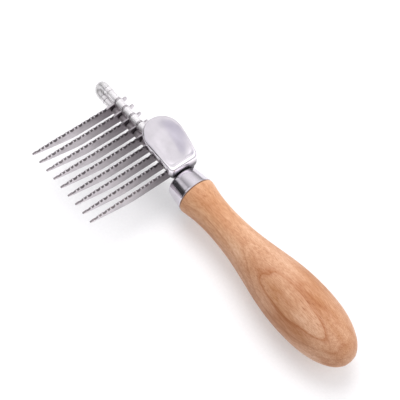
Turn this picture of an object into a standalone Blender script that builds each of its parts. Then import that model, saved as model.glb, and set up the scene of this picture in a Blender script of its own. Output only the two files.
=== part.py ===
"""Dematting rake: nine curved, toothed blades on a hairpin rod frame, with a pressed
thumb rest whose rear flange sits on the rods, a ferrule and a turned beech handle.

The tool is drawn in a frame of its own and then placed by one empty. In that frame X runs
along the handle towards the head, Y runs along the blades towards their tips, Z is up, and
the origin is on the handle's axis where wood and ferrule meet.
"""
import math

import bmesh
import bpy
from mathutils import Vector

MM = 0.001
GAP = 0.3 * MM              # clearance kept between pieces that touch

# Handle, turned about X
SHOULDER_RADIUS = 9.2 * MM
BELLY_RADIUS = 13.15 * MM
HANDLE_LENGTH = 96.8 * MM
TENON_LENGTH = 8.9 * MM
# Distance behind the shoulder and radius, along the side of the handle
HANDLE_SIDE = [
    (0.8, 9.15), (3.0, 8.8), (8.0, 7.95), (15.0, 7.5), (22.0, 7.6), (30.0, 8.2),
    (37.0, 9.2), (44.0, 10.45), (51.0, 11.75), (58.0, 12.7), (64.5, 13.12), (71.0, 13.12),
    (77.0, 12.7), (82.0, 11.85), (87.0, 10.35), (91.5, 8.1), (94.5, 5.6), (96.2, 3.0),
]

# Ferrule, a tapered cup over the front of the handle
FERRULE_LENGTH = 9.8 * MM
FERRULE_REAR_RADIUS = 9.15 * MM
FERRULE_FRONT_RADIUS = 7.9 * MM
FERRULE_SHOULDER = 1.2 * MM
SHEET = 0.5 * MM

# Rod frame: a hairpin with an upper and a lower leg
ROD_RADIUS = 1.3 * MM
BEND_RADIUS = 1.95 * MM     # the rod is thicker from the shoulder round the bend
UPPER_LEG = Vector((-1.5, 4.9)) * MM                # Y and Z of each leg
LEG_OFFSET = Vector((2.2, -4.1)) * MM               # from the upper leg to the lower one
LOWER_LEG = UPPER_LEG + LEG_OFFSET
LEGS = {"upper": UPPER_LEG, "lower": LOWER_LEG}
TANG_END = -8.0 * MM
BORE_RADIUS = ROD_RADIUS + GAP

# Blades and spacers
BLADES = 9
PITCH = 5.4 * MM
FIRST_BLADE_X = 58.6 * MM
BLADE_THICKNESS = 0.7 * MM
BLADE_REACH = 46.4 * MM     # from the upper leg to the tip
BLADE_BELLY = 0.56          # share of the reach where the lower edge starts to rise
# Toothed edge: a large and a small scallop in turn
FIRST_SCALLOP = 7.7 * MM    # middle of the first one, from the upper leg
SCALLOP_PITCH = 2.23 * MM
SCALLOPS = 17
SCALLOP_SHAPES = ((1.05 * MM, 0.5 * MM), (0.6 * MM, 0.3 * MM))   # half length and depth
SLEEVE_RADIUS = 1.95 * MM
COLLAR_RADIUS = 2.1 * MM
COLLAR_LENGTH = 2.3 * MM
BEND_START = 67.2 * MM
BEND_CENTRE = BEND_START + 1.9 * MM

# Thumb rest: Y of its middle line, then its outline, heights and turned-down edge
REST_Y = -1.8 * MM
REST_REAR_X = FERRULE_LENGTH + GAP
REST_FRONT_X = 34.8 * MM
REST_WIDEST_X = 24.5 * MM
REST_REAR_HALF = 7.3 * MM
REST_WIDEST_HALF = 9.1 * MM
REST_CORNER = 2.4 * MM
REST_REAR_Z = 10.5 * MM
REST_RISE = 6.9 * MM
REST_SHEET = 0.8 * MM
REST_BEND = 1.1 * MM
REST_REAR_BEND = 2.2 * MM
REST_BEND_FADE = 5.0 * MM   # over this length from the rear the bend tightens
REST_SKIRT = 1.1 * MM       # depth of the turned edge at the sides and front
HOLLOW_DEPTH = 1.45 * MM
HOLLOW_X = 21.0 * MM
HOLLOW_HALF_LENGTH = 8.4 * MM
HOLLOW_HALF_WIDTH = 5.6 * MM
# Rear flange, between the ferrule and the first spacers
FLANGE_CORNER_Z = 5.2 * MM
FLANGE_LOWEST_Z = -2.0 * MM
FLANGE_FADE = 3.2 * MM      # over this length the sides run down into the flange

ACROSS_X = (math.pi / 2, 0.0, math.pi / 2)   # turns a flat outline to face along X


def clear_scene():
    for item in list(bpy.data.objects):
        bpy.data.objects.remove(item, do_unlink=True)


def new_collection(name):
    group = bpy.data.collections.new(name)
    bpy.context.scene.collection.children.link(group)
    return group


def make_material(name, colour, roughness, metallic):
    material = bpy.data.materials.new(name)
    material.use_nodes = True
    shader = material.node_tree.nodes["Principled BSDF"]
    shader.inputs["Base Color"].default_value = (*colour, 1.0)
    shader.inputs["Roughness"].default_value = roughness
    shader.inputs["Metallic"].default_value = metallic
    return material


def add_piece(name, data, material, group, parent):
    """Link one named object under the tool's empty and give it its material."""
    piece = bpy.data.objects.new(name, data)
    group.objects.link(piece)
    piece.parent = parent
    data.materials.clear()
    data.materials.append(material)
    return piece


def profile_mesh(name, points):
    """A line of (distance along the axis, radius) points in the XZ plane."""
    mesh = bpy.data.meshes.new(name)
    edges = [(i, i + 1) for i in range(len(points) - 1)]
    mesh.from_pydata([(radius, 0.0, along) for along, radius in points], edges, [])
    return mesh


def turn(piece, steps):
    """Turn a profile about its local Z, then smooth the round sides."""
    screw = piece.modifiers.new("turn", "SCREW")
    screw.axis = "Z"
    screw.steps = steps
    screw.render_steps = steps
    screw.use_merge_vertices = True
    screw.merge_threshold = 0.00001
    screw.use_smooth_shade = True
    piece.rotation_euler = (0.0, math.pi / 2, 0.0)   # local Z becomes X


def spline_through(points, steps):
    """Points on a Catmull-Rom curve through the given (along, radius) points."""
    ends = [points[0]] + points + [points[-1]]
    line = []
    for i in range(1, len(ends) - 2):
        a, b, c, d = (Vector(ends[i + k]) for k in (-1, 0, 1, 2))
        for step in range(steps):
            t = step / steps
            line.append(tuple(0.5 * (2 * b + (c - a) * t + (2 * a - 5 * b + 4 * c - d) * t ** 2
                                     + (3 * b - a - 3 * c + d) * t ** 3)))
    line.append(points[-1])
    return line


def cut(piece, cutter):
    bore = piece.modifiers.new("bore", "BOOLEAN")
    bore.operation = "DIFFERENCE"
    bore.solver = "EXACT"
    bore.object = cutter


def leg_cutter(name, start, end, leg, group, parent):
    """A cylinder along X where one leg of the frame passes through a piece."""
    mesh = bpy.data.meshes.new(name)
    shape = bmesh.new()
    bmesh.ops.create_cone(shape, cap_ends=True, segments=20, radius1=BORE_RADIUS,
                          radius2=BORE_RADIUS, depth=end - start)
    shape.to_mesh(mesh)
    shape.free()
    cutter = bpy.data.objects.new(name, mesh)
    group.objects.link(cutter)
    cutter.parent = parent
    cutter.location = ((start + end) / 2, leg.x, leg.y)
    cutter.rotation_euler = (0.0, math.pi / 2, 0.0)
    cutter.hide_render = True
    cutter.display_type = "WIRE"
    return cutter


def flat_outline(name, loops, thickness):
    """A flat plate from closed outlines; the second and later loops are its holes."""
    curve = bpy.data.curves.new(name, "CURVE")
    curve.dimensions = "2D"
    curve.fill_mode = "BOTH"
    curve.extrude = thickness / 2
    for loop in loops:
        spline = curve.splines.new("POLY")
        spline.points.add(len(loop) - 1)
        for point, (across, up) in zip(spline.points, loop):
            point.co = (across, up, 0.0, 1.0)
        spline.use_cyclic_u = True
    return curve


def circle(centre, radius, count):
    steps = [math.tau * i / count for i in range(count)]
    return [(centre[0] + radius * math.cos(a), centre[1] + radius * math.sin(a)) for a in steps]


def arc(centre, radius, first, last, count):
    """Points on an arc, with its angles in degrees."""
    angles = [math.radians(first + (last - first) * i / (count - 1)) for i in range(count)]
    return [(centre[0] + radius * math.cos(a), centre[1] + radius * math.sin(a)) for a in angles]


def make_handle(material, group, cutters, parent):
    """Turned handle with a tenon in front and two bores for the legs of the frame."""
    side = [(-along * MM, radius * MM) for along, radius in HANDLE_SIDE]
    tenon_front = FERRULE_FRONT_RADIUS - SHEET - GAP - 0.4 * MM
    tenon_rear = FERRULE_REAR_RADIUS - SHEET - GAP
    front = [
        (TENON_LENGTH, 0.0),
        (TENON_LENGTH, tenon_front - 0.8 * MM),
        (TENON_LENGTH - 0.8 * MM, tenon_front),
        (0.0, tenon_rear),
        (0.0, SHOULDER_RADIUS - 0.35 * MM),
        (-0.2 * MM, SHOULDER_RADIUS - 0.1 * MM),
    ]
    points = front + spline_through(side, 2) + [(-HANDLE_LENGTH, 0.0)]
    handle = add_piece("handle", profile_mesh("handle", points), material, group, parent)
    turn(handle, 44)
    for name, leg in LEGS.items():
        end = TENON_LENGTH + 1.0 * MM
        cut(handle, leg_cutter(f"handle_bore_{name}", TANG_END - GAP, end, leg, cutters, parent))
    return handle


def make_ferrule(material, group, cutters, parent):
    """Tapered cup, open at the rear, with two holes in its front for the legs."""
    rear_x = GAP
    front_x = FERRULE_LENGTH
    bend = FERRULE_SHOULDER
    centre_x = front_x - bend
    outer = [(front_x, 0.0)]
    outer += [(centre_x + bend * math.sin(a), FERRULE_FRONT_RADIUS - bend + bend * math.cos(a))
              for a in (math.pi / 2 * k / 4 for k in (4, 3, 2, 1, 0))]
    outer.append((rear_x, FERRULE_REAR_RADIUS))
    inner = [(rear_x, FERRULE_REAR_RADIUS - SHEET)]
    inner += [(centre_x, FERRULE_FRONT_RADIUS - SHEET)]
    inner += [(front_x - SHEET, FERRULE_FRONT_RADIUS - bend), (front_x - SHEET, 0.0)]
    ferrule = add_piece("ferrule", profile_mesh("ferrule", outer + inner), material, group,
                        parent)
    turn(ferrule, 44)
    for name, leg in LEGS.items():
        start = front_x - 1.5 * MM
        cut(ferrule, leg_cutter(f"ferrule_hole_{name}", start, front_x + 1.0 * MM, leg,
                                cutters, parent))
    return ferrule


def make_frame(material, group, parent):
    """One rod bent to a hairpin. Its shoulders, before the bend, hold the collars."""
    bend = LEG_OFFSET.length / 2
    middle = (UPPER_LEG + LOWER_LEG) / 2
    aside = -LEG_OFFSET.normalized()
    thick = BEND_RADIUS / ROD_RADIUS
    step = 0.05 * MM
    upper = [(TANG_END, bend, 1.0), (BEND_START - step, bend, 1.0), (BEND_START, bend, thick)]
    count = 13
    turns = [math.pi / 2 - math.pi * i / (count - 1) for i in range(count)]
    around = [(BEND_CENTRE + bend * math.cos(a), bend * math.sin(a), thick) for a in turns]
    lower = [(x, -out, thickness) for x, out, thickness in reversed(upper)]
    curve = bpy.data.curves.new("bow_frame", "CURVE")
    curve.dimensions = "3D"
    curve.bevel_depth = ROD_RADIUS
    curve.bevel_resolution = 4
    curve.use_fill_caps = True
    spline = curve.splines.new("POLY")
    path = upper + around + lower
    spline.points.add(len(path) - 1)
    for point, (x, out, thickness) in zip(spline.points, path):
        across, up = middle + aside * out
        point.co = (x, across, up, 1.0)
        point.radius = thickness
    return add_piece("bow_frame", curve, material, group, parent)


def blade_top(along):
    """Height of the upper edge over the upper leg: slightly hollow, then down to the tip."""
    t = along / BLADE_REACH
    return (-0.1 - 0.2 * math.sin(math.pi * t) - 0.9 * t ** 8) * MM


def blade_bottom(along):
    """Height of the lower edge: level as far as the belly, then sweeping up to the tip."""
    past_belly = (along / BLADE_REACH - BLADE_BELLY) / (1.0 - BLADE_BELLY)
    rise = (past_belly + math.sqrt(past_belly ** 2 + 0.02)) / 2
    return (-6.75 + 4.66 * rise) * MM


def toothed_edge():
    """Upper edge of a blade, with its scallops."""
    points = []
    for number in range(SCALLOPS):
        middle = FIRST_SCALLOP + SCALLOP_PITCH * number
        half, depth = SCALLOP_SHAPES[number % 2]
        places = ((-1.0, -0.5, 0.0, 0.5, 1.0), (-1.0, -0.4, 0.4, 1.0))[number % 2]
        for place in places:
            along = middle + half * place
            points.append((along, blade_top(along) - depth * (1.0 - place ** 2)))
    return points


def blade_outline():
    """Blade in its own plane, across = Y from the upper leg and up = Z from that leg."""
    tip_radius = 0.55 * MM
    tip = (BLADE_REACH - tip_radius, -1.5 * MM)
    points = [(2.35 * MM, 0.35 * MM), (4.2 * MM, 0.05 * MM)]
    points += toothed_edge()
    end = BLADE_REACH - 1.6 * MM
    points += arc(tip, tip_radius, 70, -80, 6)
    for i in range(19):
        along = end - (end - 6.5 * MM) * i / 18
        points.append((along, blade_bottom(along)))
    points += arc((2.4 * MM, -4.85 * MM), 1.9 * MM, -85, -150, 6)
    points += [(-0.9 * MM, -4.6 * MM), (-2.7 * MM, -3.3 * MM), (-4.2 * MM, -2.3 * MM)]
    points += arc((-3.5 * MM, -1.2 * MM), 1.25 * MM, 220, 50, 8)
    points += arc((0.0, 0.0), 1.98 * MM, 165, 25, 8)
    points.reverse()
    holes = [circle((0.0, 0.0), BORE_RADIUS, 20), circle(LEG_OFFSET, BORE_RADIUS, 20)]
    return [points] + holes


def make_blades(material, group, parent):
    curve = flat_outline("blade", blade_outline(), BLADE_THICKNESS)
    for i in range(BLADES):
        blade = add_piece(f"blade_{i + 1}", curve, material, group, parent)
        blade.rotation_euler = ACROSS_X
        blade.location = (FIRST_BLADE_X - PITCH * i, UPPER_LEG.x, UPPER_LEG.y)


def make_ring(name, start, end, radius, leg, material, group, parent):
    """A tube around one leg, between two places along X."""
    loops = [circle((0.0, 0.0), radius, 20), circle((0.0, 0.0), BORE_RADIUS, 20)]
    ring = add_piece(name, flat_outline(name, loops, end - start), material, group, parent)
    ring.rotation_euler = ACROSS_X
    ring.location = ((start + end) / 2, leg.x, leg.y)
    return ring


def make_spacers(sleeve, collar, group, parent):
    """Sleeves between the blades, at both ends, and a collar at each shoulder."""
    half = BLADE_THICKNESS / 2
    last_x = FIRST_BLADE_X - PITCH * (BLADES - 1)
    flange_face = REST_REAR_X + REST_SHEET
    collar_end = BEND_START - GAP
    collar_start = collar_end - COLLAR_LENGTH
    for name, leg in LEGS.items():
        spans = [(FIRST_BLADE_X + half, collar_start)]
        for i in range(1, BLADES):
            x = FIRST_BLADE_X - PITCH * i
            spans.append((x + half, x + PITCH - half))
        spans.append((flange_face, last_x - half))
        for i, (start, end) in enumerate(spans):
            make_ring(f"{name}_sleeve_{i}", start + GAP / 2, end - GAP / 2, SLEEVE_RADIUS, leg,
                      sleeve, group, parent)
        make_ring(f"{name}_end_collar", collar_start, collar_end, COLLAR_RADIUS, leg,
                  collar, group, parent)


def rest_half_width(x):
    """Half the width of the thumb rest at a place along X."""
    if x > REST_WIDEST_X:
        t = (x - REST_WIDEST_X) / (REST_FRONT_X - REST_WIDEST_X)
        return REST_WIDEST_HALF * math.sqrt(max(0.0, 1.0 - t ** 2.2))
    t = (REST_WIDEST_X - x) / (REST_WIDEST_X - REST_REAR_X)
    return REST_WIDEST_HALF - (REST_WIDEST_HALF - REST_REAR_HALF) * t ** 1.1


def rest_outline():
    """Half of the rim in plan, from the middle of the rear edge to the front point."""
    half = rest_half_width(REST_REAR_X + REST_CORNER)
    centre = (REST_REAR_X + REST_CORNER, half - REST_CORNER)
    rim = [(REST_REAR_X, centre[1] * i / 8) for i in range(8)]
    rim += arc(centre, REST_CORNER, 180, 95, 6)
    for i in range(1, 6):
        x = centre[0] + (REST_WIDEST_X - centre[0]) * i / 5
        rim.append((x, rest_half_width(x)))
    for i in range(1, 12):
        angle = math.pi / 2 * i / 12
        x = REST_WIDEST_X + (REST_FRONT_X - REST_WIDEST_X) * math.sin(angle)
        rim.append((x, rest_half_width(x)))
    rim.append((REST_FRONT_X, 0.0))
    return rim


def rim_height(x):
    s = (x - REST_REAR_X) / (REST_FRONT_X - REST_REAR_X)
    return REST_REAR_Z + REST_RISE * (1.0 - (1.0 - s) ** 2)


def rest_height(x, y):
    """Top of the thumb rest: the hollow for the thumb fades out towards the rim."""
    along = (x - HOLLOW_X) / HOLLOW_HALF_LENGTH
    across = y / HOLLOW_HALF_WIDTH
    return rim_height(x) - HOLLOW_DEPTH * math.exp(-(along ** 2 + across ** 2) ** 1.3)


def rest_bend(x):
    """Radius of the turned edge: wide over the rear flange, tighter elsewhere."""
    at_rear = max(0.0, 1.0 - (x - REST_REAR_X) / REST_BEND_FADE)
    return REST_BEND + (REST_REAR_BEND - REST_BEND) * at_rear


def rest_lower_edge(x, y):
    """Height where the turned-down edge ends below a place on the rim."""
    side_end = rim_height(x) - rest_bend(x) - REST_SKIRT
    straight = rest_half_width(REST_REAR_X + REST_CORNER) - REST_CORNER
    if abs(y) < straight:
        if x > REST_WIDEST_X:
            return side_end
        # The tongue of the flange is fuller on the side of the lower leg.
        power = 8 if y > 0 else 4
        share = (abs(y) / straight) ** power
        return FLANGE_LOWEST_Z + (FLANGE_CORNER_Z - FLANGE_LOWEST_Z) * share
    at_rear = max(0.0, 1.0 - (x - REST_REAR_X) / FLANGE_FADE) ** 0.7
    return side_end + (FLANGE_CORNER_Z - side_end) * at_rear


def make_thumb_rest(material, group, cutters, parent):
    """Pressed sheet: a hollow inside a rounded rim, with its edge turned down. The rear
    edge goes on down as a flange with a hole for each leg of the frame."""
    half = rest_outline()
    rim = half + [(x, -y) for x, y in reversed(half[1:-1])]
    centre_x = (REST_REAR_X + REST_FRONT_X) / 2
    mesh = bpy.data.meshes.new("thumb_rest")
    shape = bmesh.new()
    middle = shape.verts.new((centre_x, 0.0, rest_height(centre_x, 0.0)))
    rings = []
    for reach in (0.22, 0.42, 0.58, 0.7, 0.8):
        inner = [(centre_x + (x - centre_x) * reach, y * reach) for x, y in rim]
        rings.append([(x, y, rest_height(x, y)) for x, y in inner])
    for turned in (0.0, 22.5, 45.0, 67.5, 90.0):
        a = math.radians(turned)
        ring = []
        for x, y in rim:
            bend = rest_bend(x)
            out = Vector((x - centre_x, y))
            inset = out * ((out.length - bend * (1.0 - math.sin(a))) / out.length)
            top = rim_height(centre_x + out.x * (out.length - bend) / out.length)
            ring.append((centre_x + inset.x, inset.y, top - bend * (1.0 - math.cos(a))))
        rings.append(ring)
    rings.append([(x, y, rest_lower_edge(x, y)) for x, y in rim])
    loops = [[shape.verts.new(point) for point in ring] for ring in rings]
    count = len(rim)
    for k in range(count):
        after = (k + 1) % count
        shape.faces.new((middle, loops[0][after], loops[0][k]))
        for inner, outer in zip(loops, loops[1:]):
            shape.faces.new((inner[k], inner[after], outer[after], outer[k]))
    bmesh.ops.recalc_face_normals(shape, faces=shape.faces)
    shape.to_mesh(mesh)
    shape.free()
    mesh.shade_smooth()
    rest = add_piece("thumb_rest", mesh, material, group, parent)
    rest.location = (0.0, REST_Y, 0.0)
    sheet = rest.modifiers.new("sheet", "SOLIDIFY")
    sheet.thickness = REST_SHEET
    sheet.offset = -1.0
    sheet.use_even_offset = True
    for name, leg in LEGS.items():
        start = REST_REAR_X - 1.0 * MM
        end = REST_REAR_X + REST_SHEET + 1.0 * MM
        cut(rest, leg_cutter(f"rest_hole_{name}", start, end, leg, cutters, parent))
    return rest


def main():
    clear_scene()
    parts = new_collection("dematting_rake")
    cutters = new_collection("cutters")

    beech = make_material("beech", (0.72, 0.43, 0.25), 0.45, 0.0)
    chrome = make_material("chrome", (0.86, 0.85, 0.88), 0.12, 1.0)
    blade_steel = make_material("blade_steel", (0.52, 0.48, 0.50), 0.34, 1.0)
    rod_steel = make_material("rod_steel", (0.72, 0.71, 0.73), 0.22, 1.0)

    # The origin goes under the middle of the whole tool's box, at its lowest point.
    front_x = BEND_CENTRE + LEG_OFFSET.length / 2 + BEND_RADIUS
    tip_y = UPPER_LEG.x + BLADE_REACH
    tool = bpy.data.objects.new("tool_frame", None)
    parts.objects.link(tool)
    tool.location = ((HANDLE_LENGTH - front_x) / 2, (BELLY_RADIUS - tip_y) / 2, BELLY_RADIUS)

    make_handle(beech, parts, cutters, tool)
    make_ferrule(chrome, parts, cutters, tool)
    make_frame(rod_steel, parts, tool)
    make_blades(blade_steel, parts, tool)
    make_spacers(chrome, chrome, parts, tool)
    make_thumb_rest(chrome, parts, cutters, tool)


main()
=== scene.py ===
"""Looks of the dematting rake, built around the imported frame.

Lengths are in millimetres in the tool's own frame: X along the handle towards the head,
Y along the blades, Z up, from the point on the handle's axis where wood meets ferrule.
"""

import math

import bpy
import numpy as np
from mathutils import Matrix, Vector


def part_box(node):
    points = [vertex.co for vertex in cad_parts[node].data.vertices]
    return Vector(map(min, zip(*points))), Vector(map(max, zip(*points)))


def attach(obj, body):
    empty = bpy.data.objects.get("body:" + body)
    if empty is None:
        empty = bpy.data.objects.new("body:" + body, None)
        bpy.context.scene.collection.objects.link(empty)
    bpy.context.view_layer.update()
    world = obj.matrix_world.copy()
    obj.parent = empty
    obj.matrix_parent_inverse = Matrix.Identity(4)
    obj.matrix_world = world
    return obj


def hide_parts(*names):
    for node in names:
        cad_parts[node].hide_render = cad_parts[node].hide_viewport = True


MM = 0.001
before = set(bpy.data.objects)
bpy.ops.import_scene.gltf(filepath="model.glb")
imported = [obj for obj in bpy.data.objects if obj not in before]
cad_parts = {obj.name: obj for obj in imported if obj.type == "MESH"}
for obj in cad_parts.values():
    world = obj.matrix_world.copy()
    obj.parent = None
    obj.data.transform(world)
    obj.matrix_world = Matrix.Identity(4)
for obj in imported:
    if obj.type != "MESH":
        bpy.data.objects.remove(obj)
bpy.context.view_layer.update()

GAP = 0.3                       # clearance that the CAD keeps between touching pieces
handle_low, handle_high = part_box("handle")
ferrule_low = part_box("ferrule")[0]
ORIGIN = Vector((ferrule_low.x - GAP * MM, (handle_low.y + handle_high.y) / 2,
                 (handle_low.z + handle_high.z) / 2))


def to_tool(point):
    """A point of the row frame in the tool's frame, in millimetres."""
    return (Vector(point) - ORIGIN) / MM


def tool_box(node):
    """Two opposite corners of a CAD node, in the tool's frame."""
    low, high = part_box(node)
    return to_tool(low), to_tool(high)


def leg_of(node):
    """Where the line along X through the middle of a CAD node lies, as (y, z)."""
    low, high = tool_box(node)
    middle = (low + high) / 2
    return Vector((middle.y, middle.z))


UPPER_LEG = leg_of("upper_sleeve_3")
LOWER_LEG = leg_of("lower_sleeve_3")
BLADES = [name for name in sorted(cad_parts) if name.startswith("blade_")]


# ---------------------------------------------------------------- mesh building

def make_piece(name, points, faces, material, nodes, sharp):
    """One visible piece from points in the tool's frame, standing for the given CAD nodes.

    Edges that turn by more than sharp degrees aren't smoothed.
    """
    mesh = bpy.data.meshes.new(name)
    mesh.from_pydata([tuple(ORIGIN + Vector(point) * MM) for point in points], [], faces)
    mesh.validate()
    mesh.shade_smooth()
    mesh.set_sharp_from_angle(angle=math.radians(sharp))
    mesh.materials.append(material)
    piece = bpy.data.objects.new(name, mesh)
    bpy.context.scene.collection.objects.link(piece)
    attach(piece, "root")
    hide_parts(*nodes)
    return piece


def loft(loops, closed_ends=True):
    """Faces that join closed loops of equally many points, and cap the first and the last."""
    count = len(loops[0])
    points = [point for loop in loops for point in loop]
    faces = []
    for i in range(len(loops) - 1):
        for k in range(count):
            after = (k + 1) % count
            faces.append((i * count + k, i * count + after,
                          (i + 1) * count + after, (i + 1) * count + k))
    if closed_ends:
        faces.append(tuple(reversed(range(count))))
        faces.append(tuple(range((len(loops) - 1) * count, len(loops) * count)))
    return points, faces


def turned(profile, centre, segments):
    """A closed body turned about a line along X; the profile's ends lie on that line."""
    points = [(profile[0][0], centre[0], centre[1])]
    rings = profile[1:-1]
    for x, radius in rings:
        for k in range(segments):
            angle = math.tau * k / segments
            points.append((x, centre[0] + radius * math.cos(angle),
                           centre[1] + radius * math.sin(angle)))
    points.append((profile[-1][0], centre[0], centre[1]))
    last = len(points) - 1
    faces = []
    for k in range(segments):
        after = (k + 1) % segments
        faces.append((0, 1 + after, 1 + k))
        for i in range(len(rings) - 1):
            a = 1 + i * segments
            b = a + segments
            faces.append((a + k, a + after, b + after, b + k))
        end = 1 + (len(rings) - 1) * segments
        faces.append((end + k, end + after, last))
    return points, faces


def turned_ring(profile, centre, segments):
    """A ring whose closed profile of (x, radius) points is turned about a line along X."""
    loops = []
    for k in range(segments):
        angle = math.tau * k / segments
        loops.append([(x, centre[0] + radius * math.cos(angle),
                       centre[1] + radius * math.sin(angle)) for x, radius in profile])
    points, faces = loft(loops + [loops[0]], closed_ends=False)
    count = len(profile)
    keep = segments * count
    faces = [tuple(index % keep for index in face) for face in faces]
    return points[:keep], faces


def smooth_line(points, steps):
    """Points on a Catmull-Rom curve through the given points."""
    ends = [points[0]] + list(points) + [points[-1]]
    line = []
    for i in range(1, len(ends) - 2):
        a, b, c, d = (Vector(ends[i + k]) for k in (-1, 0, 1, 2))
        for step in range(steps):
            t = step / steps
            line.append(tuple(0.5 * (2 * b + (c - a) * t + (2 * a - 5 * b + 4 * c - d) * t ** 2
                                     + (3 * b - a - 3 * c + d) * t ** 3)))
    line.append(tuple(points[-1]))
    return line


def arc(centre, radius, first, last, count):
    """Points on an arc, with its angles in degrees."""
    angles = [math.radians(first + (last - first) * i / (count - 1)) for i in range(count)]
    return [(centre[0] + radius * math.cos(a), centre[1] + radius * math.sin(a)) for a in angles]


def ring_radii(node):
    """Radius of a turned CAD node at each place along X where it has a full ring of points."""
    enough_angles = 40          # the points where a bore ends lie at fewer angles
    rings = {}
    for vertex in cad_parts[node].data.vertices:
        point = to_tool(vertex.co)
        angle = round(math.degrees(math.atan2(point.z, point.y)))
        rings.setdefault(round(point.x, 2), []).append((math.hypot(point.y, point.z), angle))
    full = []
    for x, found in rings.items():
        largest = max(radius for radius, angle in found)
        round_about = {angle for radius, angle in found if radius > 0.98 * largest}
        if len(round_about) > enough_angles:
            full.append((x, largest))
    return sorted(full, reverse=True)


# ---------------------------------------------------------------- materials

class Nodes:
    """A material's node tree, with short calls for the nodes used here."""

    def __init__(self, name):
        self.material = bpy.data.materials.new(name)
        self.material.use_nodes = True
        self.tree = self.material.node_tree
        self.shader = self.tree.nodes["Principled BSDF"]

    def add(self, kind, inputs=None, **settings):
        node = self.tree.nodes.new(kind)
        for key, value in settings.items():
            setattr(node, key, value)
        for key, value in (inputs or {}).items():
            self.put(value, node.inputs[key])
        return node

    def put(self, value, socket):
        if isinstance(value, bpy.types.NodeSocket):
            self.tree.links.new(value, socket)
        elif isinstance(value, (tuple, list, Vector)) and len(socket.default_value) == 4:
            socket.default_value = (*tuple(value)[:3], 1.0)
        else:
            socket.default_value = value

    def place(self, scale, move=(0.0, 0.0, 0.0), turn=(0.0, 0.0, 0.0)):
        """Position in the row frame, stretched; a scale of 1 is one unit per metre."""
        spot = self.add("ShaderNodeTexCoord").outputs["Object"]
        return self.add("ShaderNodeMapping", {"Vector": spot, "Scale": scale, "Location": move,
                                              "Rotation": turn}).outputs["Vector"]

    def coordinate(self, axis):
        """One coordinate of the position, in metres in the row frame."""
        spot = self.add("ShaderNodeTexCoord").outputs["Object"]
        return self.add("ShaderNodeSeparateXYZ", {"Vector": spot}).outputs[axis]

    def noise(self, spot, detail=4.0, roughness=0.5, distortion=0.0):
        return self.add("ShaderNodeTexNoise", {
            "Vector": spot, "Scale": 1.0, "Detail": detail, "Roughness": roughness,
            "Distortion": distortion}).outputs["Fac"]

    def math(self, operation, a, b=0.0):
        return self.add("ShaderNodeMath", {0: a, 1: b}, operation=operation).outputs[0]

    def span(self, value, start, end, low=0.0, high=1.0):
        """From low to high while the value goes from start to end, and level beyond them."""
        return self.add("ShaderNodeMapRange", {
            "Value": value, "From Min": start, "From Max": end, "To Min": low,
            "To Max": high}).outputs["Result"]

    def ramp(self, value, stops):
        """A grey or a colour for the value, from stops of (position, grey or colour)."""
        node = self.add("ShaderNodeValToRGB", {"Fac": value})
        while len(node.color_ramp.elements) < len(stops):
            node.color_ramp.elements.new(0.5)
        for element, (position, colour) in zip(node.color_ramp.elements, stops):
            element.position = position
            if isinstance(colour, (int, float)):
                colour = (colour, colour, colour)
            element.color = (*colour, 1.0)
        return node.outputs["Color"]

    def mix(self, blend, factor, a, b):
        node = self.add("ShaderNodeMix", data_type="RGBA", blend_type=blend)
        self.put(factor, node.inputs[0])
        self.put(a, node.inputs[6])
        self.put(b, node.inputs[7])
        return node.outputs[2]

    def stain(self, base, mask, amount, tint):
        """The base, multiplied by a tint as far as the mask and the amount say."""
        return self.mix("MULTIPLY", self.math("MULTIPLY", mask, amount), base, tint)

    def bump(self, height, strength, distance):
        return self.add("ShaderNodeBump", {"Height": height, "Strength": strength,
                                           "Distance": distance}).outputs["Normal"]

    def finish(self, **inputs):
        for key, value in inputs.items():
            self.put(value, self.shader.inputs[key.replace("_", " ")])
        return self.material


RINGS_PER_METRE = 340.0
RING_WANDER = 0.016             # the rings stray from circles by up to half of this, in metres
FAINT_RING = 28.9               # rings are numbered from the pith outwards
CLEAR_RING = 30.1


def growth_rings(wood):
    """How strongly the growth rings show where the turned surface cuts them."""
    drift = wood.noise(wood.place((9.0, 42.0, 42.0)), 3.0)
    # The pith is a line outside the handle that runs nearly along it.
    around = wood.place((0.055, 1.0, 1.0), (0.0, 0.03, 0.065), (0.10, 0.05, -0.06))
    across = wood.add("ShaderNodeVectorMath", {0: around, 1: (0.0, 1.0, 1.0)},
                      operation="MULTIPLY").outputs[0]
    radius = wood.add("ShaderNodeVectorMath", {0: across}, operation="LENGTH").outputs["Value"]
    wander = wood.math("MULTIPLY", wood.math("SUBTRACT", drift, 0.5), RING_WANDER)
    ring = wood.math("MULTIPLY", wood.math("ADD", radius, wander), RINGS_PER_METRE)
    distinct = wood.span(ring, FAINT_RING, CLEAR_RING, 0.42, 0.9)
    # They fade towards the side away from the blades.
    near_blades = wood.span(wood.coordinate("Y"), ORIGIN.y - 5.0 * MM, ORIGIN.y + 3.0 * MM,
                            0.10, 1.0)
    tone = wood.ramp(wood.math("FRACT", ring), [(0.0, 0.35), (0.12, 0.0), (0.7, 0.25),
                                                (0.96, 1.0), (1.0, 0.4)])
    return wood.math("MULTIPLY", tone, wood.math("MULTIPLY", distinct, near_blades))


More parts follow.
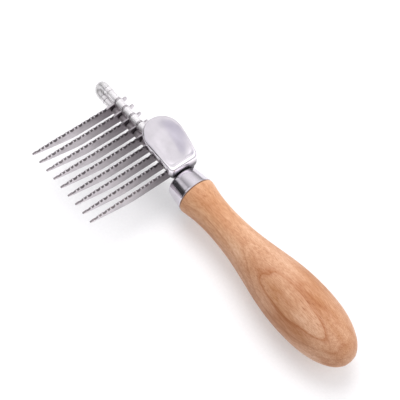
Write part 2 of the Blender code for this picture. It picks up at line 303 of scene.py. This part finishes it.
def beech():
    """Clear-lacquered beech: growth rings, streaks, fine fibres, specks and ray flecks."""
    wood = Nodes("beech")
    cloud = wood.noise(wood.place((26.0, 85.0, 85.0), (3.0, 1.0, 2.0)), 3.0, 0.55)
    coarse = wood.noise(wood.place((16.0, 190.0, 190.0)), 4.0, 0.55, 0.4)
    fibre = wood.noise(wood.place((55.0, 1500.0, 1500.0)), 5.0, 0.62)
    fine = wood.noise(wood.place((420.0, 3300.0, 3300.0)), 3.0, 0.65)
    streak = wood.ramp(coarse, [(0.42, 0.0), (0.72, 1.0)])
    thread = wood.ramp(fibre, [(0.34, 0.0), (0.72, 1.0)])
    speck = wood.ramp(fine, [(0.43, 0.0), (0.60, 1.0)])
    near_neck = wood.span(wood.coordinate("X"), ORIGIN.x - 45.0 * MM, ORIGIN.x - 15.0 * MM)
    cells = wood.add("ShaderNodeTexVoronoi", {"Vector": wood.place((150.0, 1250.0, 1250.0)),
                                              "Scale": 1.0}).outputs["Distance"]
    fleck = wood.ramp(cells, [(0.10, 1.0), (0.24, 0.0)])
    patch = wood.ramp(wood.noise(wood.place((30.0, 120.0, 120.0), (7.0, 0.0, 4.0)), 2.0),
                      [(0.47, 0.0), (0.63, 1.0)])

    colour = wood.ramp(cloud, [(0.36, (0.58, 0.30, 0.155)), (0.50, (0.72, 0.445, 0.29)),
                               (0.64, (0.82, 0.56, 0.40))])
    colour = wood.mix("MULTIPLY", growth_rings(wood), colour, (0.68, 0.46, 0.31))
    colour = wood.stain(colour, streak, 0.34, (0.74, 0.52, 0.36))
    colour = wood.stain(colour, thread, 0.36, (0.72, 0.52, 0.38))
    colour = wood.mix("MULTIPLY", near_neck, colour, (1.0, 0.95, 0.86))
    colour = wood.stain(colour, speck, 0.62, (0.72, 0.53, 0.40))
    colour = wood.stain(colour, wood.math("MULTIPLY", fleck, patch), 0.62, (0.50, 0.28, 0.17))
    relief = wood.math("ADD", wood.math("MULTIPLY", thread, -0.5),
                       wood.math("MULTIPLY", fleck, -0.6))
    return wood.finish(Base_Color=colour, Roughness=wood.ramp(coarse, [(0.3, 0.40), (0.7, 0.52)]),
                       Normal=wood.bump(relief, 0.35, 0.06 * MM), Coat_Weight=0.12,
                       Coat_Roughness=0.42, Specular_IOR_Level=0.22)


def plated(name, colour, roughness, grain, grain_depth, metallic=1.0):
    """Plate over steel, with fine wear: faint clouds, hairlines and dull spots.

    Grain is how fine the hairlines are along X, Y and Z, in steps per metre. Its depth is
    in millimetres.
    """
    metal = Nodes(name)
    cloud = metal.noise(metal.place((120.0, 120.0, 120.0)), 4.0, 0.6)
    lines = metal.noise(metal.place(grain), 5.0, 0.7)
    clouded = tuple(value * 0.86 for value in colour)
    tone = metal.mix("MIX", metal.ramp(cloud, [(0.35, 0.0), (0.7, 1.0)]), colour, clouded)
    tone = metal.stain(tone, lines, 0.22, (0.62, 0.60, 0.64))
    wear = metal.math("ADD", metal.math("MULTIPLY", cloud, 0.5), metal.math("MULTIPLY", lines, 0.5))
    dull = metal.ramp(wear, [(0.3, roughness), (0.7, roughness * 1.8)])
    return metal.finish(Base_Color=tone, Roughness=dull, Metallic=metallic,
                        Normal=metal.bump(lines, 0.3, grain_depth * MM))


def plate_with_painted_shade(name, colour, roughness, top_z, bottom_z):
    """Plate that dulls and darkens downwards: painted shade for the dark corner at its foot."""
    metal = Nodes(name)
    cloud = metal.noise(metal.place((260.0, 260.0, 260.0)), 4.0, 0.6)
    uneven = metal.math("MULTIPLY", metal.math("SUBTRACT", cloud, 0.5), 0.7 * MM)
    height = metal.math("ADD", metal.coordinate("Z"), uneven)
    unshaded = metal.span(height, ORIGIN.z + bottom_z * MM, ORIGIN.z + top_z * MM)
    # The dark colour towards the bottom is painted shade, not dirt.
    shaded_colour = tuple(value * 0.18 for value in colour)
    return metal.finish(Base_Color=metal.ramp(unshaded, [(0.0, shaded_colour), (1.0, colour)]),
                        Roughness=metal.ramp(unshaded, [(0.0, roughness * 2.5), (1.0, roughness)]),
                        Normal=metal.bump(cloud, 0.3, 0.008 * MM), Metallic=1.0)


def ground_steel(name, pale, dark, roughness, painted_shade_near_rods):
    """Stainless steel with grinding lines along the blade, and painted shade that darkens it near
    the rods.
    """
    steel = Nodes(name)
    lines = steel.noise(steel.place((1400.0, 36.0, 2300.0)), 6.0, 0.7)
    cloud = steel.noise(steel.place((60.0, 90.0, 170.0)), 4.0, 0.6)
    away = steel.span(steel.coordinate("Y"), ORIGIN.y + 4.0 * MM, ORIGIN.y + 27.0 * MM)
    tone = steel.ramp(cloud, [(0.3, dark), (0.7, pale)])
    tone = steel.stain(tone, lines, 0.5, (0.60, 0.57, 0.60))
    # Painted shade: a dark tint multiplied in near the rods, fading out along the blade.
    tone = steel.mix("MULTIPLY", steel.math("SUBTRACT", 1.0, away), tone, painted_shade_near_rods)
    dull = steel.ramp(lines, [(0.3, roughness), (0.75, roughness + 0.15)])
    return steel.finish(Base_Color=tone, Roughness=dull, Normal=steel.bump(lines, 0.4, 0.04 * MM),
                        Metallic=1.0)


WOOD = beech()
CHROME = plated("chrome", (0.80, 0.765, 0.82), 0.10, (500.0, 2600.0, 2600.0), 0.01)
REST_COLOUR = (0.92, 0.885, 0.935)
REST_ROUGHNESS = 0.13
REST_PLATE = plated("thumb_rest_chrome", REST_COLOUR, REST_ROUGHNESS, (50.0, 160.0, 160.0), 0.004)
# The flange darkens towards its lower edge: painted shade where it meets the ferrule.
FLANGE_PLATE = plate_with_painted_shade("flange_chrome", REST_COLOUR, REST_ROUGHNESS, top_z=9.9, bottom_z=6.9)
# Dark steel for the sheet's inner side: painted shade that keeps the gaps under the thumb rest
# dark.
SHADED_UNDERSIDE = plated("underside_painted_shade", (0.20, 0.19, 0.20), 0.45, (600.0, 900.0, 900.0), 0.04)
SLEEVE_GRAIN = (300.0, 3800.0, 3800.0)
SLEEVE_METAL = plated("sleeve_plate", (0.97, 0.95, 0.96), 0.20, SLEEVE_GRAIN, 0.03, metallic=0.5)
# Darker steel for the lower sleeves: painted shade between the blades.
SHADED_SLEEVE_METAL = plated("inner_sleeve_painted_shade", (0.62, 0.57, 0.59), 0.45, SLEEVE_GRAIN, 0.03)
ROD_METAL = plated("rod_steel", (0.81, 0.80, 0.80), 0.20, (420.0, 3000.0, 3000.0), 0.03,
                   metallic=0.5)
# The blades' sides turn very dark near the rods: painted shade under the head.
BLADE_METAL = ground_steel("blade_steel", pale=(0.86, 0.815, 0.84), dark=(0.64, 0.60, 0.62),
                           roughness=0.28, painted_shade_near_rods=(0.21, 0.185, 0.20))
# Dark, rough steel for the scallops and the tip's bevel: painted shade; ground steel there would be
# brighter.
SHADED_SCALLOP_METAL = ground_steel("scallop_painted_shade", pale=(0.40, 0.37, 0.38), dark=(0.22, 0.20, 0.21),
                             roughness=0.45, painted_shade_near_rods=(0.60, 0.58, 0.60))
EDGE_METAL = ground_steel("edge_steel", pale=(0.90, 0.87, 0.89), dark=(0.78, 0.75, 0.77),
                          roughness=0.22, painted_shade_near_rods=(0.86, 0.85, 0.86))


# ---------------------------------------------------------------- handle and ferrule

SIDE_START = -0.4               # the rings used for the side lie behind this x
TENON_RADIUS = 7.1              # at the tenon's front end, inside the ferrule
TENON_CHAMFER = 0.8
TENON_REAR_RADIUS = 8.1
SHOULDER_ROUNDING = 0.35


def build_handle():
    """Turned wood, with its side on a smooth curve through the rings of the CAD handle."""
    low, high = tool_box("handle")
    side = [(x, radius) for x, radius in ring_radii("handle") if x < SIDE_START]
    shoulder = side[0][1]
    centre = (-SHOULDER_ROUNDING, shoulder - SHOULDER_ROUNDING)
    front = [(high.x, 0.0), (high.x, TENON_RADIUS - TENON_CHAMFER),
             (high.x - TENON_CHAMFER, TENON_RADIUS), (0.05, TENON_REAR_RADIUS)]
    front += [(0.02, shoulder - 0.5), (0.0, shoulder - 0.32)]
    front += arc(centre, SHOULDER_ROUNDING, 0, 80, 6)
    side = [point for point in side if point[1] > 0.2]
    profile = front + smooth_line(side, 6) + [(low.x, 0.0)]
    points, faces = turned(profile, (0.0, 0.0), 160)
    return make_piece("wood_handle", points, faces, WOOD, ["handle"], 60.0)


FERRULE_FRONT_RADIUS = 7.9
FERRULE_BEND = 1.1
FERRULE_WALL = 0.5
FERRULE_EDGE = 0.25             # rounding of the rear edge


def build_ferrule():
    """Drawn cup with a rounded front shoulder and a plain rear edge against the wood."""
    low, high = tool_box("ferrule")
    rear = low.x
    front = high.x
    rear_radius = (high.y - low.y) / 2
    bend_x = front - FERRULE_BEND
    bend_radius = FERRULE_FRONT_RADIUS - FERRULE_BEND
    slope = (rear_radius - FERRULE_FRONT_RADIUS) / (bend_x - rear)
    outer = [(front, 0.0), (front, bend_radius - 0.4)]
    outer += arc((bend_x, bend_radius), FERRULE_BEND, 0, 90, 9)
    for i in range(1, 12):
        x = bend_x - (bend_x - rear - FERRULE_EDGE) * i / 12
        outer.append((x, FERRULE_FRONT_RADIUS + slope * (bend_x - x)))
    outer += [(rear + FERRULE_EDGE + FERRULE_EDGE * math.cos(a),
               rear_radius - FERRULE_EDGE + FERRULE_EDGE * math.sin(a))
              for a in (math.radians(d) for d in (90, 115, 140, 165, 180))]
    inner = [(rear + 0.05, rear_radius - 0.62), (bend_x, FERRULE_FRONT_RADIUS - 0.6),
             (front - FERRULE_WALL, bend_radius), (front - FERRULE_WALL, 0.0)]
    points, faces = turned(outer + inner, (0.0, 0.0), 144)
    return make_piece("ferrule_cup", points, faces, CHROME, ["ferrule"], 50.0)


# ---------------------------------------------------------------- rod frame and spacers

ROD_RADIUS = 1.3
BEND_RADIUS = 1.93              # the rod is thicker from its shoulder round the bend
SHOULDER_STEPS = ((0.0, 0.25), (0.12, 0.08), (0.32, 0.0))    # distance, and how much thinner


def build_frame():
    """The hairpin: two legs and a thicker bend, with a shoulder behind each collar."""
    low, high = tool_box("bow_frame")
    half = (LOWER_LEG - UPPER_LEG).length / 2
    middle = (UPPER_LEG + LOWER_LEG) / 2
    aside = (UPPER_LEG - LOWER_LEG).normalized()
    bend_x = high.x - BEND_RADIUS - half
    shoulder = tool_box("upper_end_collar")[1].x + GAP
    leg = [(low.x, half, ROD_RADIUS), (shoulder - 0.02, half, ROD_RADIUS)]
    leg += [(shoulder + along, half, BEND_RADIUS - less) for along, less in SHOULDER_STEPS]
    turns = [math.pi / 2 - math.pi * i / 40 for i in range(41)]
    around = [(bend_x + half * math.cos(a), half * math.sin(a), BEND_RADIUS) for a in turns]
    path = leg + around + [(x, -out, radius) for x, out, radius in reversed(leg)]
    loops = []
    count = 40
    for i, (x, out, radius) in enumerate(path):
        before = path[max(0, i - 1)]
        after = path[min(len(path) - 1, i + 1)]
        ahead = Vector((after[0] - before[0], after[1] - before[1])).normalized()
        loop = []
        for k in range(count):
            angle = math.tau * k / count
            along = x - ahead.y * radius * math.cos(angle)
            outward = out + ahead.x * radius * math.cos(angle)
            spot = middle + aside * outward
            sideways = Vector((-aside.y, aside.x)) * radius * math.sin(angle)
            loop.append((along, spot.x + sideways.x, spot.y + sideways.y))
        loops.append(loop)
    points, faces = loft(loops)
    return make_piece("hairpin_rod", points, faces, ROD_METAL, ["bow_frame"], 40.0)


SPACER_BORE = 1.42
SPACER_RIM = 0.22               # rounding of each end
SPACER_WAIST = 0.05             # how far the outer side is drawn in at the middle


def build_spacer(node, material):
    """A sleeve or collar: a tube with rounded rims and a slight waist in its outer side."""
    low, high = tool_box(node)
    radius = (high.y - low.y) / 2
    rim_radius = radius - SPACER_RIM
    outer = arc((low.x + SPACER_RIM, rim_radius), SPACER_RIM, 180, 95, 5)
    for i in range(9):
        t = i / 8
        x = low.x + SPACER_RIM + (high.x - low.x - 2 * SPACER_RIM) * t
        outer.append((x, radius - SPACER_WAIST * math.sin(math.pi * t)))
    outer += arc((high.x - SPACER_RIM, rim_radius), SPACER_RIM, 85, 0, 5)
    profile = outer + [(high.x, SPACER_BORE), (low.x, SPACER_BORE)]
    points, faces = turned_ring(profile, leg_of(node), 56)
    return make_piece(f"{node}_tube", points, faces, material, [node], 50.0)


def build_spacers():
    """The lower sleeves stand in the shade between the blades; they get darker steel, painted
    shade.
    """
    for node in sorted(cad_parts):
        if "_sleeve_" in node or node.endswith("_collar"):
            inner = node.startswith("lower_sleeve_") and node != "lower_sleeve_0"
            build_spacer(node, SHADED_SLEEVE_METAL if inner else SLEEVE_METAL)


# ---------------------------------------------------------------- blades

REACH = 46.4
BELLY = 0.56
FIRST_SCALLOP = 7.7
SCALLOP_PITCH = 2.23
SCALLOPS = 17
SCALLOP_SHAPES = ((1.05, 0.5), (0.6, 0.3))
BEVEL_FACES = 4                 # the first faces of each cross-section
FLAT_FACES = (7, 8, 14)         # the two sides of the blade
TIP_LENGTH = 1.9                # the tip has no bright edge
EYE_END = 2.1                   # where the part around the rod ends


def scallop_at(y):
    """How far into a scallop a place along the blade is, 0 to 1, and that scallop's depth."""
    number = round((y - FIRST_SCALLOP) / SCALLOP_PITCH)
    if not 0 <= number < SCALLOPS:
        return 0.0, 0.0
    half, depth = SCALLOP_SHAPES[number % 2]
    across = (y - FIRST_SCALLOP - number * SCALLOP_PITCH) / half
    return max(0.0, 1.0 - across ** 2), depth


def blade_edges():
    """Upper and lower outline of a blade, as two lines that run from heel to tip."""
    bead = (-3.5, -1.2)
    tip = (REACH - 0.55, -1.5)
    body = np.arange(6.0, REACH - 1.6, 0.11)
    share = body / REACH
    over = -0.1 - 0.2 * np.sin(math.pi * share) - 0.9 * share ** 8
    past = (share - BELLY) / (1.0 - BELLY)
    under = -6.75 + 4.66 * (past + np.sqrt(past ** 2 + 0.02)) / 2
    upper = arc(bead, 1.25, 180, 50, 12) + arc((0.0, 0.0), 1.98, 165, 25, 18)
    upper += [(2.35, 0.35), (3.2, 0.15), (4.2, 0.05)]
    for y, z in zip(body, over):
        into, depth = scallop_at(y)
        upper.append((y, z - depth * into))
    upper += arc(tip, 0.55, 70, 0, 8)
    lower = arc(bead, 1.25, 180, 220, 6) + [(-4.2, -2.3), (-2.7, -3.3), (-0.9, -4.6)]
    lower += arc((2.4, -4.85), 1.9, 210, 275, 10)
    lower += [(y, z) for y, z in zip(body, under) if y > 6.4]
    lower += arc(tip, 0.55, -80, 0, 8)
    return np.array(upper), np.array(lower)


def blade_section(y, top, bottom, half):
    """Cross-section of a blade at y, as (x, z) points; the cutting bevel faces the handle."""
    height = top - bottom
    rounding = min(0.16, height * 0.3)
    ground = min(1.0, max(0.0, (y - 3.6) / 2.4))
    into, depth = scallop_at(y)
    bevel_depth = min((0.62 + 0.55 * into * (depth + 0.3)) * ground, height * 0.35)
    inset = (2.0 * half - 0.14) * ground
    side = []
    for t in (1.0, 0.75, 0.5, 0.25, 0.0):
        z = top - (bevel_depth + (1.0 - ground) * rounding) * t
        x = -half + (inset + (1.0 - ground) * rounding) * (1.0 - t)
        side.append((x + 0.10 * into * math.sin(math.pi * t), z))
    edge = min(rounding, 0.05 + (1.0 - ground) * rounding)
    section = side + [(half - edge, top), (half - edge * 0.3, top - edge * 0.3),
                      (half, top - edge)]
    section += [(half, (top + bottom) / 2), (half, bottom + rounding),
                (half - rounding * 0.3, bottom + rounding * 0.3), (half - rounding, bottom)]
    section += [(-half + rounding, bottom), (-half + rounding * 0.3, bottom + rounding * 0.3),
                (-half, bottom + rounding)]
    return section


def blade_material(y, k):
    """Slot of face k of a cross-section at y: 0 for a side, 1 for a scallop, 2 for an edge."""
    in_tip = y > REACH - TIP_LENGTH
    if k < BEVEL_FACES and (scallop_at(y)[0] > 0.12 or in_tip):
        return 1
    if in_tip or (k in FLAT_FACES and y > EYE_END):
        return 0
    return 2


def build_blades():
    """Nine alike blades, each a loft of cross-sections along Y."""
    upper, lower = blade_edges()
    stations = np.unique(np.concatenate([upper[:, 0], lower[:, 0]]))
    keep = [stations[0] + 0.01]
    for y in stations[1:-1]:
        if y - keep[-1] > 0.035:
            keep.append(y)
    keep.append(stations[-1] - 0.01)
    tops = np.interp(keep, upper[:, 0], upper[:, 1])
    bottoms = np.interp(keep, lower[:, 0], lower[:, 1])
    for node in BLADES:
        low, high = tool_box(node)
        middle = (low.x + high.x) / 2
        half = (high.x - low.x) / 2
        loops = []
        for y, top, bottom in zip(keep, tops, bottoms):
            top = max(top, bottom + 0.1)
            loops.append([(middle + x, UPPER_LEG.x + y, UPPER_LEG.y + z)
                          for x, z in blade_section(y, top, bottom, half)])
        points, faces = loft(loops)
        piece = make_piece(f"{node}_ground", points, faces, BLADE_METAL, [node],
                           24.0)
        piece.data.materials.append(SHADED_SCALLOP_METAL)
        piece.data.materials.append(EDGE_METAL)
        count = len(loops[0])
        for i in range(len(keep) - 1):
            y = (keep[i] + keep[i + 1]) / 2
            for k in range(count):
                piece.data.polygons[i * count + k].material_index = blade_material(y, k)


# ---------------------------------------------------------------- thumb rest

FLAT_RINGS = 26                 # rings of points inside the rim's bend


def build_thumb_rest():
    """Pressed sheet: a thumb hollow, a soft rim and a flange in front of the ferrule."""
    low, high = tool_box("thumb_rest")
    rear = low.x
    front = high.x
    widest_x = 24.5
    middle_y = (low.y + high.y) / 2
    widest = (high.y - low.y) / 2
    rear_half = 7.3
    corner = 2.4
    sheet = 0.8
    rear_z = 10.5
    rise = high.z - rear_z
    hollow_depth = 1.45
    hollow_x = 21.0
    hollow_length = 8.4
    hollow_width = 5.6
    corner_z = 5.2
    bend_radius = 1.1
    bend_fade = 5.0             # the bend is wider within this distance from the rear
    flange_fade = 3.2           # the flange runs out into the side over this distance
    skirt = 1.1                 # the straight part below the bend

    def half_width(x):
        if x > widest_x:
            t = (x - widest_x) / (front - widest_x)
            return widest * math.sqrt(max(0.0, 1.0 - t ** 2.2))
        t = (widest_x - x) / (widest_x - rear)
        return widest - (widest - rear_half) * t ** 1.1

    def rim_height(x):
        s = (x - rear) / (front - rear)
        return rear_z + rise * (1.0 - (1.0 - s) ** 2)

    def height(x, y):
        """The hollow fades out before the rim."""
        away = ((x - hollow_x) / hollow_length) ** 2 + (y / hollow_width) ** 2
        return rim_height(x) - hollow_depth * math.exp(-away ** 1.3)

    def bend(x):
        return bend_radius + bend_radius * max(0.0, 1.0 - (x - rear) / bend_fade)

    straight = half_width(rear + corner) - corner

    def lower_edge(x, y):
        side_end = rim_height(x) - bend(x) - skirt
        if abs(y) < straight:
            if x > widest_x:
                return side_end
            share = (abs(y) / straight) ** (8 if y > 0 else 4)
            return low.z + (corner_z - low.z) * share
        at_rear = max(0.0, 1.0 - (x - rear) / flange_fade) ** 0.7
        return side_end + (corner_z - side_end) * at_rear

    rim = [(rear, y) for y in np.linspace(0.0, straight, 20)[:-1]]
    rim += arc((rear + corner, straight), corner, 180, 95, 14)
    rim += [(x, half_width(x)) for x in np.linspace(rear + corner, widest_x, 26)[1:]]
    for i in range(1, 40):
        x = widest_x + (front - widest_x) * math.sin(math.pi / 2 * i / 40)
        rim.append((x, half_width(x)))
    rim.append((front, 0.0))
    rim = rim + [(x, -y) for x, y in reversed(rim[1:-1])]
    centre_x = (rear + front) / 2
    rings = []
    for reach in np.linspace(0.04, 0.8, FLAT_RINGS):
        inner = [(centre_x + (x - centre_x) * reach, y * reach) for x, y in rim]
        rings.append([(x, y, height(x, y)) for x, y in inner])
    outwards = [Vector((x - centre_x, y)) for x, y in rim]
    tops = [rim_height(centre_x + out.x * (1.0 - bend(x) / out.length))
            for (x, y), out in zip(rim, outwards)]
    for turned_by in np.linspace(0.0, 90.0, 11):
        a = math.radians(turned_by)
        ring = []
        for (x, y), out, top in zip(rim, outwards, tops):
            inset = out * (1.0 - bend(x) * (1.0 - math.sin(a)) / out.length)
            ring.append((centre_x + inset.x, inset.y, top - bend(x) * (1.0 - math.cos(a))))
        rings.append(ring)
    for share in (0.2, 0.4, 0.6, 0.8, 1.0):
        ring = []
        for (x, y), top in zip(rim, tops):
            start = top - bend(x)
            ring.append((x, y, start + (lower_edge(x, y) - start) * share))
        rings.append(ring)
    count = len(rim)
    points = [(centre_x, 0.0, height(centre_x, 0.0))]
    points += [point for ring in rings for point in ring]
    points = [(x, y + middle_y, z) for x, y, z in points]
    faces = []
    for k in range(count):
        after = (k + 1) % count
        faces.append((0, 1 + after, 1 + k))
        for i in range(len(rings) - 1):
            a = 1 + i * count
            b = a + count
            faces.append((a + k, a + after, b + after, b + k))
    piece = make_piece("thumb_rest_plate", points, faces, REST_PLATE, ["thumb_rest"],
                       60.0)
    thick = piece.modifiers.new("sheet", "SOLIDIFY")
    thick.thickness = sheet * MM
    thick.offset = -1.0
    thick.use_even_offset = True
    # The inner side of the sheet has the slot after that of its outer side.
    thick.material_offset = 1
    # The sheet's inner sides get the dark steel of painted shade.
    for below in (SHADED_UNDERSIDE, FLANGE_PLATE, SHADED_UNDERSIDE):
        piece.data.materials.append(below)
    # These flange faces get the plate with painted shade at its foot.
    flange_rim = [k for k in range(count) if rim[k][0] < rear + 0.6 * corner]
    for k in flange_rim:
        for i in range(FLAT_RINGS, len(rings) - 1):
            piece.data.polygons[k * len(rings) + 1 + i].material_index = 2
    return piece


# ---------------------------------------------------------------- floor, lights and camera

def build_stage():
    """White paper that glows a little, so that only the tool's shade can be seen on it."""
    mesh = bpy.data.meshes.new("floor")
    reach = 15.0
    mesh.from_pydata([(-reach, -reach, 0.0), (reach, -reach, 0.0), (reach, reach, 0.0),
                      (-reach, reach, 0.0)], [], [(0, 1, 2, 3)])
    paper = Nodes("paper")
    grain = paper.noise(paper.place((900.0, 900.0, 900.0)), 3.0)
    pale = paper.ramp(grain, [(0.3, (0.64, 0.64, 0.65)), (0.7, (0.67, 0.67, 0.68))])
    paper.finish(Base_Color=pale, Roughness=0.9, Emission_Color=(1.0, 1.0, 1.0),
                 Emission_Strength=0.31)
    mesh.materials.append(paper.material)
    floor = bpy.data.objects.new("floor", mesh)
    bpy.context.scene.collection.objects.link(floor)


def build_backdrop():
    """A white wall on all sides, seen only by the camera: low views don't end in the dark."""
    distance = 3.0
    height = 2.0
    count = 64
    turns = [math.tau * k / count for k in range(count)]
    corners = [(distance * math.cos(turn), distance * math.sin(turn)) for turn in turns]
    points = [(x, y, 0.0) for x, y in corners] + [(x, y, height) for x, y in corners]
    faces = [(k, (k + 1) % count, count + (k + 1) % count, count + k) for k in range(count)]
    mesh = bpy.data.meshes.new("backdrop")
    mesh.from_pydata(points, [], faces)
    cloth = Nodes("white_cloth")
    weave = cloth.noise(cloth.place((3.0, 3.0, 3.0)), 2.0)
    glow = cloth.ramp(weave, [(0.3, 0.99), (0.7, 1.0)])
    mesh.materials.append(cloth.finish(Base_Color=(0.02, 0.02, 0.02), Roughness=0.9,
                                       Emission_Color=glow, Emission_Strength=1.0))
    wall = bpy.data.objects.new("backdrop", mesh)
    wall.visible_glossy = False
    wall.visible_diffuse = False
    wall.visible_shadow = False
    bpy.context.scene.collection.objects.link(wall)


def add_key_light():
    """A broad lamp high above the tool that can't be seen in the metal."""
    position = Vector((0.42, -0.26, 1.0))
    data = bpy.data.lights.new("key", "AREA")
    data.shape = "RECTANGLE"
    data.size = 0.7
    data.size_y = 0.7
    data.energy = 7.3
    lamp = bpy.data.objects.new("key", data)
    lamp.location = position
    lamp.visible_glossy = False
    lamp.rotation_euler = (-position).to_track_quat("-Z", "Y").to_euler()
    bpy.context.scene.collection.objects.link(lamp)


def add_flag():
    """A dark card beside the tool, seen only in the metal: it gives the ferrule its streak."""
    middle = ORIGIN + Vector((48.0, 106.0, 46.0)) * MM
    across = Vector((1.0, -0.4, 0.0)).normalized() * 14.0 * MM
    up = Vector((0.0, -0.35, 1.0)).normalized() * 40.0 * MM
    mesh = bpy.data.meshes.new("flag")
    mesh.from_pydata([middle - across - up, middle + across - up, middle + across + up,
                      middle - across + up], [], [(0, 1, 2, 3)])
    card = Nodes("black_card")
    fleck = card.noise(card.place((700.0, 700.0, 700.0)))
    mesh.materials.append(card.finish(Base_Color=card.ramp(fleck, [(0.3, 0.11), (0.7, 0.13)]),
                                      Roughness=0.9))
    flag = bpy.data.objects.new("flag", mesh)
    flag.visible_camera = False
    flag.visible_shadow = False
    flag.visible_diffuse = False
    bpy.context.scene.collection.objects.link(flag)


def build_lights():
    """A world of soft bright and dark areas for the metal to mirror, and a key light."""
    world = bpy.data.worlds.new("studio")
    world.use_nodes = True
    tree = world.node_tree
    background = tree.nodes["Background"]
    direction = tree.nodes.new("ShaderNodeTexCoord").outputs["Generated"]

    def facing(towards, start, end, low, high):
        """A value from low to high as a direction turns towards the given one."""
        dot = tree.nodes.new("ShaderNodeVectorMath")
        dot.operation = "DOT_PRODUCT"
        tree.links.new(direction, dot.inputs[0])
        dot.inputs[1].default_value = Vector(towards).normalized()
        span = tree.nodes.new("ShaderNodeMapRange")
        span.interpolation_type = "SMOOTHSTEP"
        tree.links.new(dot.outputs["Value"], span.inputs["Value"])
        for key, value in (("From Min", start), ("From Max", end),
                           ("To Min", low), ("To Max", high)):
            span.inputs[key].default_value = value
        return span.outputs["Result"]

    def combined(operation, a, b):
        node = tree.nodes.new("ShaderNodeMath")
        node.operation = operation
        tree.links.new(a, node.inputs[0])
        tree.links.new(b, node.inputs[1])
        return node.outputs[0]

    ceiling = facing((0.0, 0.0, 1.0), 0.05, 0.70, 0.44, 1.02)
    dark_side = facing((0.42, 0.86, 0.10), 0.10, 0.92, 1.0, 0.08)
    overhead = facing((0.12, 0.05, 0.98), 0.93, 0.985, 1.0, 0.74)
    thin_cloth = facing((0.08, -0.36, 0.93), 0.86, 0.96, 1.0, 0.87)
    rear_window = facing((-0.62, -0.35, 0.70), 0.85, 0.97, 1.0, 1.55)
    strength = ceiling
    for share in (dark_side, overhead, thin_cloth, rear_window):
        strength = combined("MULTIPLY", strength, share)
    side_card = facing((0.38, 0.56, 0.73), 0.92, 0.945, 0.0, 0.86)
    slim_card = facing((0.38, 0.34, 0.86), 0.984, 0.994, 0.0, 1.2)
    for card in (side_card, slim_card):
        strength = combined("MAXIMUM", strength, card)
    tree.links.new(strength, background.inputs["Strength"])
    tint = tree.nodes.new("ShaderNodeValToRGB")
    tint.color_ramp.elements[0].position = 0.70
    tint.color_ramp.elements[0].color = (0.90, 0.87, 1.0, 1.0)
    tint.color_ramp.elements[1].color = (1.0, 0.985, 1.0, 1.0)
    tree.links.new(overhead, tint.inputs["Fac"])
    tree.links.new(tint.outputs["Color"], background.inputs["Color"])
    bpy.context.scene.world = world
    bpy.context.scene.view_settings.view_transform = "Standard"
    add_key_light()
    add_flag()


def build_camera():
    """The camera looks down on the tool from the handle's end and the blades' side."""
    azimuth = math.radians(227.467)
    elevation = math.radians(58.642)
    roll = math.radians(4.123)
    distance = 388.96 * MM
    target = ORIGIN + Vector((-2.81, 0.14, 0.0)) * MM
    back = Vector((math.sin(azimuth) * math.cos(elevation),
                   -math.cos(azimuth) * math.cos(elevation), math.sin(elevation)))
    right = Vector((math.cos(azimuth), math.sin(azimuth), 0.0))
    up = back.cross(right)
    across = right * math.cos(roll) + up * math.sin(roll)
    upward = -right * math.sin(roll) + up * math.cos(roll)
    data = bpy.data.cameras.new("camera")
    data.lens = 81.0
    data.sensor_width = 36.0
    camera = bpy.data.objects.new("camera", data)
    camera.matrix_world = Matrix.Translation(target + back * distance) @ Matrix(
        (across, upward, back)).transposed().to_4x4()
    bpy.context.scene.collection.objects.link(camera)
    bpy.context.scene.camera = camera


build_handle()
build_ferrule()
build_frame()
build_spacers()
build_blades()
build_thumb_rest()
build_stage()
build_backdrop()
build_lights()
build_camera()
